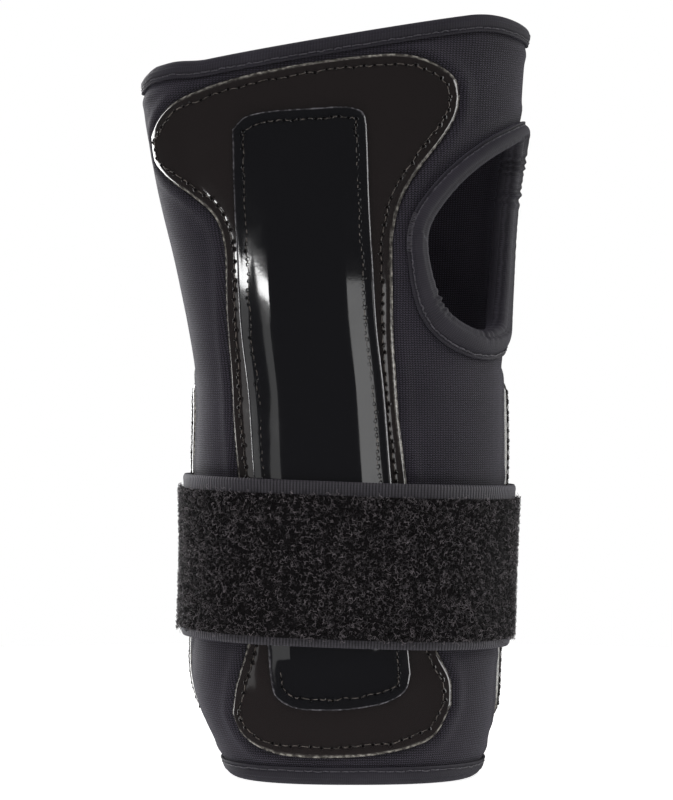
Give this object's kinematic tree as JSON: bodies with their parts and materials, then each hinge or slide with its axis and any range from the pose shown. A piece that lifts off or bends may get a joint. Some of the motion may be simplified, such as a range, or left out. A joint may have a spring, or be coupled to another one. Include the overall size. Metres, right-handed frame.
{
  "type": "wrist guard",
  "caption": "Snowboard wrist guard: neoprene sleeve with gloss splint plates on palm and back, a thumb opening and a hook-and-loop wrist strap.",
  "frame": {"origin": "middle of the guard's bounding box, on the flat underside of the cuff binding that it stands on", "axes": "+Z from the cuff to the fingers, -Y out of the palm, +X towards the thumb"},
  "size_m": [0.102, 0.0698, 0.1963],
  "materials": {
    "neoprene": "knit-faced neoprene, matt with a soft sheen",
    "binding": "smooth stretch binding strip, folded and sewn",
    "base_plastic": "polished sheet plastic with a bevelled edge",
    "cover_plastic": "polished heat-formed sheet plastic",
    "stay_metal": "brushed bar",
    "thread": "bonded sewing thread",
    "strap_knit": "knitted elastic with ribbed edges",
    "loop_pile": "brushed loop pile",
    "hook_tape": "moulded hook tape"
  },
  "bodies": {
    "guard": {"palm_panel": "neoprene", "back_panel": "neoprene", "little_finger_seam": "thread", "thumb_seam_lower": "thread", "thumb_seam_upper": "thread", "hand_binding": "binding", "cuff_binding": "binding", "thumb_binding": "binding", "palm_base_plate": "base_plastic", "palm_stay": "stay_metal", "palm_cover_plate": "cover_plastic", "palm_base_stitching": "thread", "palm_cover_stitching": "thread", "back_base_plate": "base_plastic", "back_stay": "stay_metal", "back_cover_plate": "cover_plastic", "back_base_stitching": "thread", "back_cover_stitching": "thread", "strap_front_band": "strap_knit", "strap_front_pile": "loop_pile", "strap_anchor_stitching": "thread"},
    "strap_tail": {"strap_tail_band": "strap_knit", "strap_tail_pile": "loop_pile"},
    "strap_end": {"strap_end_band": "strap_knit", "strap_end_pile": "loop_pile", "hook_patch": "hook_tape"},
    "finger_tab_end": {"finger_tab": "strap_knit"}
  },
  "joints": [
    {"name": "strap_tail_swing", "type": "hinge", "parent": "guard", "child": "strap_tail", "pos_m": [-0.0419, -0.0019, 0.056], "axis": [0, 0, 1], "range_deg": [0, 130]},
    {"name": "strap_end_peel", "type": "hinge", "parent": "strap_tail", "child": "strap_end", "pos_m": [-0.0213, 0.028, 0.056], "axis": [0, 0, 1], "range_deg": [0, 75]},
    {"name": "finger_tab_lift", "type": "hinge", "parent": "strap_end", "child": "finger_tab_end", "pos_m": [0.0389, 0.0239, 0.056], "axis": [0, 0, 1], "range_deg": [0, 60]}
  ]
}
